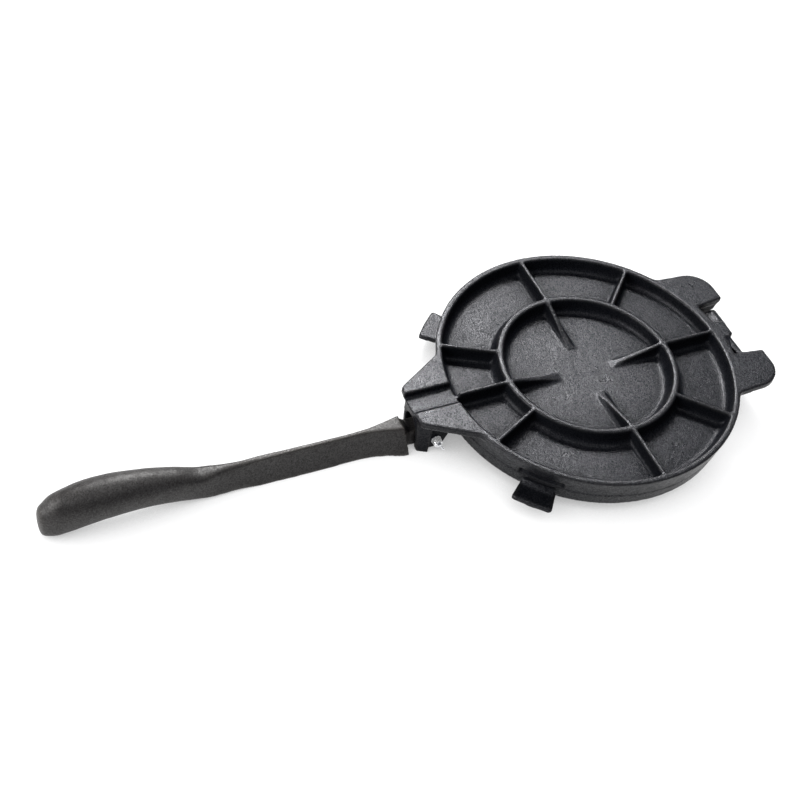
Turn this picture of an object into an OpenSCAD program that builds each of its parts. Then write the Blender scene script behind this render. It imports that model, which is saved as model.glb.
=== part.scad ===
// Cast-iron tortilla press, resting upside down on its lid with the ribbed base face up.
// +X runs from the lever to the hinge, +Z is up, and the press stands on Z = 0. Inside the
// modules X is measured from the disc centre; placed() then centres the whole press.

/* [Plates] */
// Outside diameter of the base casting at its ribbed rim
plate_d = 210; // [190:5:230]
// Height of the base casting from pressing face to rim
base_h = 15; // [14:0.5:17]
// Depth of the pockets between the base ribs
pocket_depth = 10; // [8.5:0.5:10]
// Thickness of the base ribs at their tops
rib_w = 2.8; // [2.4:0.2:3.6]
// Middle radius of the reinforcing ring, as a share of the plate radius
ring_share = 0.577; // [0.54:0.01:0.62]
// Width of the rim and of the ring at their tops
rim_w = 3.6; // [3:0.2:4.6]
// Gap left between the two pressing faces
face_gap = 0.3; // [0.2:0.1:0.6]

/* [Lid] */
// Height of the lid's outer wall
lid_wall_h = 9.7; // [9:0.1:10.5]
// Thickness of the lid's web
lid_web = 6; // [5:0.5:7]
// Height of the lid's resting ring below the lid's wall
foot_drop = 10; // [8:0.5:10]
// Length of each lift tab beyond the plate radius
tab_reach = 12; // [8:1:14]

/* [Lever pivot] */
// Reach of the nose beyond the plate radius
nose_reach = 27.3; // [26:0.1:30]
// Width of the slot the lever swings in
slot_w = 15; // [14.6:0.1:15.6]
// Outer width across the two ear webs
ear_span = 23; // [22.6:0.2:24]
// Distance of the bolt from the plate's edge
bolt_out = 11; // [10.8:0.1:11.2]
// Height of the bolt above the resting plane
bolt_z = 8; // [8:0.1:8.4]
// Nominal diameter of the pivot bolt
bolt_d = 4; // [4:0.5:5]

/* [Hinge] */
// Distance of the hinge pin from the plate's edge
hinge_out = 8.5; // [8.5:0.5:10]
// Diameter of the hinge pin
pin_d = 6; // [5:0.5:6.5]
// Outside radius of lugs and knuckles round the pin
knuckle_r = 8; // [7:0.5:8]

/* [Lever] */
// Thickness of the tang between the ears
tang_w = 12; // [11:0.2:12.4]
// Radius of the round eye of the tang
eye_r = 7.9; // [7:0.1:7.9]

/* [Hidden] */
$fn = 96;

plate_r = plate_d / 2;
running = 0.05;
parting_z = foot_drop + lid_wall_h + face_gap;
rim_z = parting_z + base_h;
lid_face_z = parting_z - face_gap;
pocket_z = rim_z - pocket_depth;
ring_r = plate_r * ring_share;
draft = 7;
pocket_corner = 4.5;
rib_root = 3.5;

nose_x = -(plate_r + nose_reach);
bolt_x = -(plate_r + bolt_out);
nose_plate_t = 4.7;
ear_front_bottom_x = nose_x + 3.1;
web_y = ear_span / 2;
flange_y = web_y + 3.1;
arch_z = 17.2;

pin_x = plate_r + hinge_out;
pin_z = parting_z;
lobe_t = 5;
lobe_x = plate_r + 22.3;
lug_inner_y = 26.3;
lug_outer_y = 31;
centre_lug_y = 6.4;
knuckle_inner_y = 7.2;
knuckle_outer_y = 22.6;
pin_end_y = 37;
split_y = 33.9;
split_r = 1.2;

tip_share = 3.54;
far_end = 40;
embed = 0.5;
// The revolved walls start here, on a stretch that nothing joins.
seam_angle = 110;
// Moves the disc centre so that the middle of the whole press stands over the origin.
centre_shift = (tip_share * plate_r - lobe_x) / 2;

// ---- shared helpers -------------------------------------------------------------

// Drafted trapezoid with the wide side down: half-width w at the top, h high.
module drafted_bar(w, h, slope) {
    foot = w + h * tan(slope);
    polygon([[-foot, 0], [foot, 0], [w, h], [-w, h]]);
}

// Cross-section of a cast rib standing on a floor: drafted sides and round roots.
module rib_section(w, h, slope, root) {
    foot = w + h * tan(slope);
    drafted_bar(w, h, slope);
    for (side = [-1, 1]) difference() {
        translate([side * (foot + root / 2 - 0.4), root / 2]) square([root + 0.8, root], center = true);
        translate([side * (foot + root), root]) circle(root);
    }
}

// Half-section of an annular pocket: drafted walls and round corners at the floor.
module pocket_section(r_in, r_out, floor_z, top_z, slope, corner) {
    h = top_z - floor_z;
    inset = corner * (1 + sin(slope)) / cos(slope);
    rise = corner * (1 - sin(slope));
    in_foot = r_in + h * tan(slope);
    out_foot = r_out - h * tan(slope);
    in_c = in_foot + inset - corner * tan(slope);
    out_c = out_foot - inset + corner * tan(slope);
    polygon([
        [in_c, floor_z], [out_c, floor_z],
        [out_c + corner * cos(slope), floor_z + rise], [r_out, top_z],
        [r_in, top_z], [in_c - corner * cos(slope), floor_z + rise]
    ]);
    for (x = [in_c, out_c]) translate([x, floor_z + corner]) circle(corner);
}

// A slab lying along Y: the outline is drawn in X and Z.
module along_y(y_from, y_to) {
    translate([0, y_to, 0]) rotate([90, 0, 0]) linear_extrude(y_to - y_from) children();
}

module placed() {
    translate([centre_shift, 0, 0]) children();
}

module mirrored_y() {
    children();
    mirror([0, 1, 0]) children();
}

// ---- base casting ---------------------------------------------------------------

rib_angles = [0, 45, 90, 154.6, 180, 205.4, 270, 315];
tab_angles = [135, 225];

module base_disc() {
    wall_in = plate_r - rim_w - 0.6;
    ring_in = ring_r - rim_w / 2;
    ring_out = ring_r + rim_w / 2;
    rotate([0, 0, seam_angle]) rotate_extrude($fn = 180) difference() {
        polygon([[0, parting_z], [plate_r - 2.6, parting_z], [plate_r, rim_z], [0, rim_z]]);
        pocket_section(ring_out, wall_in, pocket_z, rim_z + 1, draft, pocket_corner);
        intersection() {
            pocket_section(-ring_in, ring_in, pocket_z, rim_z + 1, draft, pocket_corner);
            square([plate_r, far_end + rim_z]);
        }
    }
}

// Straight ribs from the ring to the rim.
module outer_ribs() {
    run = plate_r - rim_w - ring_r;
    for (a = rib_angles) rotate([0, 0, a]) translate([ring_r, 0, pocket_z - embed])
        rotate([90, 0, 90]) linear_extrude(run) rib_section(rib_w / 2, pocket_depth + embed, 3, rib_root);
}

// Round corners in plan where those ribs meet the rim and the ring.
module rib_corners() {
    for (a = rib_angles) rotate([0, 0, a]) mirrored_y()
        translate([0, 0, pocket_z - embed]) linear_extrude(pocket_depth + embed) {
            corner_plan(plate_r - rim_w - 0.6, -1, 3);
            corner_plan(ring_r + rim_w / 2, 1, 2);
        }
}

// One such corner at x, open towards the side given; the cut is a little wider than the corner.
module corner_plan(x, side, r) {
    difference() {
        translate([side > 0 ? x - 1 : x - r, 0]) square([r + 1, rib_w / 2 + r]);
        translate([x + side * r, rib_w / 2 + r]) circle(1.13 * r);
    }
}

// Tapering ribs inside the ring: full height at the ring, running out to the floor.
module inner_ribs() {
    tip_r = plate_r * 0.2;
    for (a = [0, 90, 180, 270]) rotate([0, 0, a]) intersection() {
        translate([tip_r - 4, 0, pocket_z - embed]) rotate([90, 0, 90])
            linear_extrude(ring_r - tip_r + 4) rib_section(rib_w / 2, pocket_depth + embed, 3, rib_root);
        along_y(-8, 8) polygon([
            [tip_r - 2, pocket_z - embed], [ring_r, pocket_z - embed],
            [ring_r, rim_z], [ring_r - 2, rim_z], [tip_r, pocket_z + 0.4]
        ]);
    }
}

// Round fillet where a straight edge runs into the disc. The edge passes through p with unit
// direction u towards the disc; n is the unit normal on the open side.
function meet_disc(p, u, n, r) = let (
    q = p + r * n, b = q * u
) q - (b + sqrt(b * b - q * q + pow(plate_r + r, 2))) * u;

module disc_fillet(p, u, n, r) {
    centre = meet_disc(p, u, n, r);
    difference() {
        polygon([centre - r * n, centre * plate_r / (plate_r + r), meet_disc(p, u, n, 0) - 2 * n]);
        translate(centre) circle(r);
    }
}

// Plan of the nose: straight converging sides, clipped corners and a slightly bowed front.
module nose_plan() {
    corner = [nose_x + 2.2, 17.8];
    root = [-(plate_r - 6.2), 36];
    along = (root - corner) / norm(root - corner);
    polygon([
        [root[0] + 8, root[1]], root, corner, [nose_x, 15.8],
        [nose_x - 0.9, 6], [nose_x - 0.9, -6], [nose_x, -15.8], [corner[0], -corner[1]],
        [root[0], -root[1]], [root[0] + 8, -root[1]]
    ]);
    mirrored_y() disc_fillet(corner, along, [-along[1], along[0]], 4);
}

// Plan of one ear: a web beside the slot with a slanting flange at the front.
module ear_plan() {
    polygon([
        [nose_x + 0.2, 0], [nose_x + 0.2, 10], [nose_x + 9.6, flange_y], [nose_x + 10.4, flange_y],
        [nose_x + 10.7, web_y], [-plate_r + 4, web_y], [-plate_r + 4, 0]
    ]);
}

module ears() {
    intersection() {
        linear_extrude(rim_z - nose_plate_t / 2) mirrored_y() ear_plan();
        along_y(-far_end, far_end) polygon([
            [nose_x, rim_z], [ear_front_bottom_x, 0], [nose_x + 21.3, 0], [nose_x + 25.3, 10],
            [-plate_r + 0.6, parting_z - 1], [-plate_r + 2.8, parting_z + 0.1],
            [-plate_r + 4, rim_z]
        ]);
    }
}

// Slot for the lever: straight sides under a round arch, open at the bottom.
module slot_cut() {
    half = slot_w / 2;
    translate([nose_x - 5, 0, 0]) rotate([90, 0, 90]) linear_extrude(nose_reach + 5.7) {
        translate([-half, -1]) square([slot_w, arch_z + 1]);
        translate([0, arch_z]) circle(half);
    }
}

// Channel along the face of the nose: a clear step on one side, shallower on the other.
module channel_cut() {
    translate([nose_x - 5, 0, 0]) rotate([90, 0, 90]) linear_extrude(nose_reach + 12)
        polygon([
            [9.7, rim_z - 4.6], [10.4, rim_z + 1], [-6.9, rim_z + 1], [-6.6, rim_z - 1.6]
        ]);
}

// Plan of one foot lobe: square to the gap beside the hinge, round at its outer end.
module lobe_plan() {
    round_r = 18;
    mid = [lobe_x - round_r, 37.5];
    back = [plate_r - 25, 57];
    edge = [mid[0], mid[1] + round_r];
    along = (back - edge) / norm(back - edge);
    intersection() {
        translate(mid) circle(round_r);
        translate(mid - [1, 1]) square(round_r + 2);
    }
    polygon([
        back, [back[0], 24.5], [plate_r + 5, 24.2], [lobe_x, 26.6], [lobe_x, mid[1]], mid, edge
    ]);
    disc_fillet(edge, along, [along[1], -along[0]], 6);
}

// Plan of the tongue over the centre lug.
module tongue_plan() {
    polygon([
        [plate_r - 10, 6.8], [plate_r + 7.6, 6.8], [plate_r + 10.3, 5], [plate_r + 9.9, -6.8],
        [plate_r + 6.8, -8.6], [plate_r - 10, -9.4]
    ]);
}

// Plan of the bar from the tongue to one lobe, with a narrow slot between it and the rim.
module bar_plan() {
    polygon([
        [plate_r + 7.2, -6], [plate_r + 1, -6], [plate_r + 1, -11], [plate_r + 2.9, -12.6],
        [plate_r + 2.9, -26], [plate_r + 7.2, -26]
    ]);
}

module feet() {
    flange_r = plate_r + 2.6;
    bar_drop = 1.2;
    translate([0, 0, rim_z - lobe_t]) linear_extrude(lobe_t) difference() {
        union() {
            mirrored_y() lobe_plan();
            tongue_plan();
            intersection() {
                circle(flange_r, $fn = 180);
                translate([plate_r - 10, -30]) square([20, 60]);
            }
        }
        circle(plate_r - 2, $fn = 180);
    }
    translate([0, 0, rim_z - lobe_t - bar_drop]) linear_extrude(lobe_t) difference() {
        bar_plan();
        circle(plate_r - 2, $fn = 180);
    }
}

// Side outline of a hinge lug: wide under the foot, round about the pin.
module lug_outline(top_x) {
    translate([pin_x, pin_z]) circle(knuckle_r);
    polygon([
        [plate_r - 8, rim_z - 1], [top_x, rim_z - 1], [top_x - 3.6, rim_z - 10.3],
        [pin_x + knuckle_r * cos(20), pin_z + knuckle_r * sin(20)], [pin_x, pin_z],
        [pin_x - knuckle_r * cos(20), pin_z + knuckle_r * sin(20)],
        [plate_r - 8, parting_z + 2.8]
    ]);
}

// The lugs end inside the rim's wall, clear of the pockets.
module hinge_lugs() {
    difference() {
        union() {
            mirrored_y() along_y(lug_inner_y, lug_outer_y) lug_outline(lobe_x - 0.3);
            along_y(-centre_lug_y, centre_lug_y) lug_outline(plate_r + 9.6);
        }
        translate([0, 0, parting_z]) cylinder(r = plate_r - 3.4, h = base_h, $fn = 180);
    }
}

// Finger recess in the wall of the base above one lift tab.
module tab_recess() {
    translate([0, 0, parting_z - 1]) linear_extrude(7.8) difference() {
        wedge(8.4, 1.2 * plate_r);
        circle(plate_r - 3.4, $fn = 180);
    }
}

// Flat plate of the nose, hollowed out over the disc so that the pockets stay open.
module nose_plate() {
    difference() {
        translate([0, 0, rim_z - nose_plate_t]) linear_extrude(nose_plate_t) nose_plan();
        translate([0, 0, rim_z - far_end / 2]) cylinder(r = plate_r - 2, h = far_end, $fn = 180);
        channel_cut();
    }
}

module base_plate() color("DimGray") placed() difference() {
    union() {
        difference() {
            union() {
                base_disc();
                outer_ribs();
                rib_corners();
                ears();
            }
            channel_cut();
        }
        nose_plate();
        inner_ribs();
        feet();
        hinge_lugs();
    }
    slot_cut();
    for (a = tab_angles) rotate([0, 0, a]) tab_recess();
    along_y(-far_end, far_end) translate([bolt_x, bolt_z]) circle(bolt_d / 2 + running);
    along_y(-far_end, far_end) translate([pin_x, pin_z]) circle(pin_d / 2 + running);
}

// ---- lid casting ----------------------------------------------------------------

lid_r = plate_r - 2.8;
lid_wall_z = foot_drop;
web_z = lid_face_z - lid_web;
tab_t = 3.2;
tab_lift = 1.1;
horn_r = 5;
horn_offset = 4.2;

module lid_disc() {
    wall_in = lid_r - 5.4;
    ring_in = ring_r - rim_w / 2;
    ring_out = ring_r + rim_w / 2;
    rotate([0, 0, seam_angle]) rotate_extrude($fn = 180) {
        polygon([
            [0, web_z], [lid_r - 4, web_z], [lid_r - 1.2, lid_wall_z], [lid_r, lid_face_z],
            [0, lid_face_z]
        ]);
        polygon([
            [wall_in, lid_wall_z], [lid_r - 1.2, lid_wall_z], [lid_r - 1, web_z + 1],
            [wall_in - 0.4, web_z + 1]
        ]);
        polygon([[ring_in, 0], [ring_out, 0], [ring_out + 0.9, web_z + 1], [ring_in - 0.9, web_z + 1]]);
        translate([wall_in - 0.4, web_z]) corner_fill(-1, 1.6);
        translate([ring_out + 0.8, web_z]) corner_fill(1, 2.5);
        translate([ring_in - 0.8, web_z]) corner_fill(-1, 2.5);
    }
}

// Round root between a wall and the web above it, on the side the sign gives.
module corner_fill(side, r) {
    difference() {
        translate([side > 0 ? -0.3 : -r, -r]) square([r + 0.3, r + 0.3]);
        translate([side * r, -r]) circle(r);
    }
}

// Spokes on the lid's outer face: level with the ring, tapering to the wall.
module lid_spokes() {
    for (a = rib_angles) rotate([0, 0, a]) intersection() {
        translate([ring_r, 0, web_z + 0.5]) mirror([0, 0, 1]) rotate([90, 0, 90])
            linear_extrude(lid_r - ring_r - 2) rib_section(rib_w / 2, web_z + 0.5, 2, 2);
        along_y(-8, 8) polygon([
            [ring_r, 0], [ring_r + 3, 0], [lid_r - 3, lid_wall_z], [lid_r - 1.6, web_z + 0.5],
            [ring_r, web_z + 0.5]
        ]);
    }
}

// Flat wedge with its point on the disc centre.
module wedge(half_angle, reach) {
    polygon([
        [0, 0], reach * [cos(half_angle), -sin(half_angle)], reach * [cos(half_angle), sin(half_angle)]
    ]);
}

// Lift tab: a short sector concentric with the plate, with rounded corners.
module lift_tab() {
    tab_r = plate_r + tab_reach;
    corner = 1.6;
    corner_r = tab_r - corner;
    half_angle = 6.7;
    corner_angle = half_angle - asin(corner / corner_r);
    linear_extrude(tab_t) difference() {
        union() {
            intersection() {
                circle(tab_r, $fn = 180);
                wedge(corner_angle, 2 * tab_r);
            }
            intersection() {
                circle(sqrt(corner_r * corner_r - corner * corner), $fn = 180);
                wedge(half_angle, 2 * tab_r);
            }
            for (side = [-1, 1]) rotate([0, 0, side * corner_angle])
                translate([corner_r, 0]) circle(corner, $fn = 48);
        }
        circle(lid_r - 3, $fn = 180);
    }
    linear_extrude(tab_t + 1.2) difference() {
        intersection() {
            circle(lid_r + 1.8, $fn = 180);
            wedge(corner_angle, 2 * tab_r);
        }
        circle(lid_r - 3, $fn = 180);
    }
}

// Knuckles round the hinge pin. A horn on one of them stops the press when it is fully open.
module knuckles() {
    mirrored_y() along_y(knuckle_inner_y, knuckle_outer_y) {
        translate([pin_x, pin_z]) circle(knuckle_r);
        polygon([
            [lid_r - 8, lid_wall_z + 2.5], [pin_x - 2, pin_z - knuckle_r + 0.3],
            [pin_x, pin_z - 2], [pin_x - 3, lid_face_z], [lid_r - 8, lid_face_z]
        ]);
    }
    along_y(knuckle_inner_y, knuckle_outer_y)
        translate([pin_x, pin_z] + horn_offset * [1, 1]) circle(horn_r);
}

module lid_plate() color("DimGray") placed() difference() {
    union() {
        lid_disc();
        lid_spokes();
        for (a = tab_angles) rotate([0, 0, a]) translate([0, 0, lid_wall_z + tab_lift]) lift_tab();
        knuckles();
    }
    along_y(-far_end, far_end) translate([pin_x, pin_z]) circle(pin_d / 2 + running);
}

// ---- lever ----------------------------------------------------------------------

// Stations from the shoulder to the tip, as shares of the plate radius:
// distance from the disc centre, height of top and bottom, half-width at top and bottom,
// and squareness of the section (2 is an ellipse).
STATIONS = [
    [1.200, 0.178, 0.000, 0.066, 0.108, 9.0],
    [1.310, 0.178, 0.000, 0.052, 0.098, 9.0],
    [1.420, 0.178, 0.000, 0.029, 0.070, 9.0],
    [1.570, 0.178, 0.000, 0.010, 0.062, 9.0],
    [1.760, 0.178, 0.000, 0.008, 0.067, 9.0],
    [1.980, 0.178, 0.001, 0.009, 0.071, 8.0],
    [2.180, 0.178, 0.002, 0.013, 0.056, 7.0],
    [2.400, 0.180, 0.004, 0.020, 0.052, 5.0],
    [2.600, 0.215, 0.008, 0.070, 0.074, 2.6],
    [2.900, 0.288, 0.047, 0.106, 0.106, 2.0],
    [3.190, 0.323, 0.044, 0.127, 0.127, 2.0],
    [3.400, 0.300, 0.010, 0.106, 0.106, 2.0],
    [3.500, 0.245, 0.035, 0.066, 0.066, 2.0],
    [tip_share, 0.165, 0.100, 0.016, 0.016, 2.0]
];
STEPS = 4;
ROUND = 36;

// Smooth curve through four neighbouring values.
function blend(a, b, c, d, t) =
    0.5 * ((2 * b) + (c - a) * t + (2 * a - 5 * b + 4 * c - d) * t * t
           + (3 * b - a - 3 * c + d) * t * t * t);
function last_station() = len(STATIONS) - 1;
function station(i) = STATIONS[min(max(i, 0), last_station())];
function smooth_station(s) = let (i = min(floor(s), last_station() - 1), t = s - i)
    [for (k = [0 : 5]) blend(station(i - 1)[k], station(i)[k], station(i + 1)[k], station(i + 2)[k], t)];
function power(v, p) = sign(v) * pow(abs(v), p);
function ring_points(q) = let (mid = (q[1] + q[2]) / 2, half = (q[1] - q[2]) / 2)
    [for (j = [0 : ROUND - 1]) let (
        a = 360 * (j + 0.5) / ROUND,
        v = power(sin(a), 2 / q[5]),
        w = (q[3] + q[4]) / 2 + v * (q[3] - q[4]) / 2
    ) plate_r * [-q[0], w * power(cos(a), 2 / q[5]), mid + half * v]];

module lever_body() {
    count = last_station() * STEPS;
    points = [for (s = [0 : count]) each ring_points(smooth_station(s / STEPS))];
    sides = [for (s = [0 : count - 1]) for (j = [0 : ROUND - 1]) let (
        a = s * ROUND + j, b = s * ROUND + (j + 1) % ROUND
    ) each [[a, b, b + ROUND], [a, b + ROUND, a + ROUND]]];
    near_cap = [[for (j = [ROUND - 1 : -1 : 0]) j]];
    far_cap = [[for (j = [0 : ROUND - 1]) count * ROUND + j]];
    polyhedron(points, concat(sides, near_cap, far_cap));
}

// Slanting end of the lever's shoulder, clear of the ears.
module shoulder_cut() {
    along_y(-far_end, far_end) polygon([
        [-1.3119 * plate_r, 21], [-1.2806 * plate_r, -1], [-plate_r, -1], [-plate_r, 21]
    ]);
}

// Tang between the ears: level top, round eye about the bolt.
module tang() {
    reach = 1.32 * plate_r;
    along_y(-tang_w / 2, tang_w / 2) {
        translate([bolt_x, bolt_z]) circle(eye_r);
        polygon([
            [-reach, 1], [bolt_x, bolt_z - eye_r], [bolt_x, bolt_z + eye_r - 0.6],
            [-reach, bolt_z + eye_r - 1.4]
        ]);
    }
}

module handle() color("SlateGray") placed() difference() {
    union() {
        difference() {
            lever_body();
            shoulder_cut();
        }
        tang();
    }
    along_y(-far_end, far_end) translate([bolt_x, bolt_z]) circle(bolt_d / 2 + running);
}

// ---- hardware -------------------------------------------------------------------

washer_t = 0.6;
nut_seat_y = -(web_y + washer_t);
nut_h = 4.4;

module pivot_bolt() color("Silver") placed() translate([bolt_x, 0, bolt_z]) rotate([90, 0, 0]) {
    translate([0, 0, -web_y - embed]) cylinder(d = bolt_d, h = web_y + embed - nut_seat_y + nut_h + 1.4);
    translate([0, 0, -web_y - 3.5]) cylinder(d = 8.1, h = 3.5, $fn = 6);
}

module pivot_washer() color("Silver") placed() translate([bolt_x, -web_y, bolt_z]) rotate([90, 0, 0])
    difference() {
        cylinder(d = 7, h = washer_t);
        translate([0, 0, -1]) cylinder(d = bolt_d + 0.3, h = washer_t + 2);
    }

// Two rounded wings rise from a short hub and lean outward.
module wing_nut() color("Silver") placed() translate([bolt_x, nut_seat_y, bolt_z]) rotate([90, 50.5, 0])
    difference() {
        union() {
            cylinder(d1 = 6.8, d2 = 5.8, h = nut_h);
            rotate([90, 0, 0]) linear_extrude(1.5, center = true) for (side = [0, 1]) mirror([side, 0]) {
                translate([4.8, nut_h + 0.7]) circle(1.8);
                polygon([[1.8, 1], [3.4, 1.5], [5.7, nut_h - 0.2], [3.9, nut_h + 1.6], [1.8, nut_h - 0.5]]);
            }
        }
        translate([0, 0, -1]) cylinder(d = bolt_d + 2 * running, h = nut_h + 8);
    }

module hinge_pin() color("Silver") placed() translate([pin_x, 0, pin_z]) difference() {
    rotate([90, 0, 0]) cylinder(d = pin_d, h = 2 * pin_end_y, center = true);
    for (side = [-1, 1]) translate([0, side * split_y, 0])
        cylinder(r = split_r + running, h = far_end, center = true);
}

// Split pin: an eye above the hinge pin, a shank through it and two opened legs below.
module split_pin() {
    eye_r = 1.7;
    wire_r = 0.9;
    eye_z = pin_d / 2 + eye_r + wire_r + 0.1;
    translate([0, 0, eye_z]) rotate([0, 90, 0]) rotate_extrude()
        translate([eye_r, 0]) circle(wire_r, $fn = 24);
    translate([0, 0, -pin_d / 2 - 1.2]) cylinder(r = split_r, h = pin_d + 2.4, $fn = 32);
    for (side = [-1, 1]) translate([0, side * 0.3, -pin_d / 2 - 0.8]) rotate([180 - side * 28, 0, 0])
        cylinder(r = 0.8, h = 4.2, $fn = 24);
}

module split_pins() color("Silver") placed() for (side = [-1, 1])
    translate([pin_x, side * split_y, pin_z]) split_pin();

base_plate();
lid_plate();
handle();
pivot_bolt();
pivot_washer();
wing_nut();
hinge_pin();
split_pins();
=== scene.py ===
"""Looks of a cast-iron tortilla press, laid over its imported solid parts.

The press stands upside down on its lid with the ribbed face of the base up. Each casting gets
a sand-cast skin with rounded edges and roots, and each bought fastener is modelled afresh.
All sizes are in metres unless a name or a docstring says millimetres.
"""

import logging
import math
from collections.abc import Sequence
from dataclasses import astuple, dataclass
from enum import Enum

import bmesh
import bpy
import numpy as np
from mathutils import Matrix, Vector

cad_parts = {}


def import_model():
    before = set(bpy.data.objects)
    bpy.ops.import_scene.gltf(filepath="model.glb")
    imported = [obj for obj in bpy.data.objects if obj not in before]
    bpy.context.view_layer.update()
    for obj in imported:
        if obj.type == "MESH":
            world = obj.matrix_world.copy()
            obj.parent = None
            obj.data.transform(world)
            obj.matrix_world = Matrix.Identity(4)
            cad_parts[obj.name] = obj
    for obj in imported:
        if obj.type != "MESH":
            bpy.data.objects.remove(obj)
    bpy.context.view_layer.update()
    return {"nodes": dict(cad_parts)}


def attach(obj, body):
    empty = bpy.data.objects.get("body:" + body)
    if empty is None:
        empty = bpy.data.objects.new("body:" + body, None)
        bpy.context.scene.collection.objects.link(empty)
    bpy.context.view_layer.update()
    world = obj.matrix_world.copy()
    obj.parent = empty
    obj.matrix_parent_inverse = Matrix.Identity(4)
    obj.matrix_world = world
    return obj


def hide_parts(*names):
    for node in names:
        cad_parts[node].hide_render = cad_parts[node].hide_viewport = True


log = logging.getLogger("tortilla_press")

Triple = tuple[float, float, float]
Colour = Triple
Numbers = float | np.ndarray
Ring = list[bmesh.types.BMVert]

MM = 0.001

# Height at which lid and base meet, X of the plates' middle, and a reach just inside their wall.
PARTING_Z = 20 * MM
PLATE_X = 0.1222
PLATE_LIP = 0.0985

# Values that a casting writes on its points and its finish reads.
# The edge value makes edges paler, from wear and as a painted edge highlight.
EDGE_WEAR_AND_HIGHLIGHT = "edge_wear_and_highlight"
WALL_ATTRIBUTE = "upright"

# A turned profile's point with a smaller radius than this lies on the axis.
ON_AXIS = 1e-7


class Body(Enum):
    """The moving bodies of the press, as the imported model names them."""

    LID = "lid"
    BASE = "base"
    LEVER = "lever"
    WINGS = "wings"


class Slot(Enum):
    """The finishes that the record names."""

    BASE_IRON = "base_iron"
    LID_IRON = "lid_iron"
    LEVER_IRON = "lever_iron"
    ZINC_BOLT = "zinc_bolt"
    ZINC_WASHER = "zinc_washer"
    ZINC_NUT = "zinc_nut"
    PIN_STEEL = "pin_steel"
    SPLIT_PIN_STEEL = "split_pin_steel"


class Side(Enum):
    """The two sides of the press along Y."""

    NEAR = -1
    FAR = 1


class Cell(Enum):
    """What scattered cells give: the distance to their middle, or one chance value each."""

    DISTANCE = "Distance"
    CHANCE = "Color"


class Arithmetic(Enum):
    """The ways in which two texture values are joined."""

    ADD = "ADD"
    MULTIPLY = "MULTIPLY"


class PointValue(Enum):
    """What can be read from a mesh's points."""

    PLACE = "co"
    NORMAL = "vector"


class Ends(Enum):
    """How a stack of rings is finished."""

    OPEN = "open"
    CAPPED = "capped"
    LOOPED = "looped"


# ---- finishes ---------------------------------------------------------------------------


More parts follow.
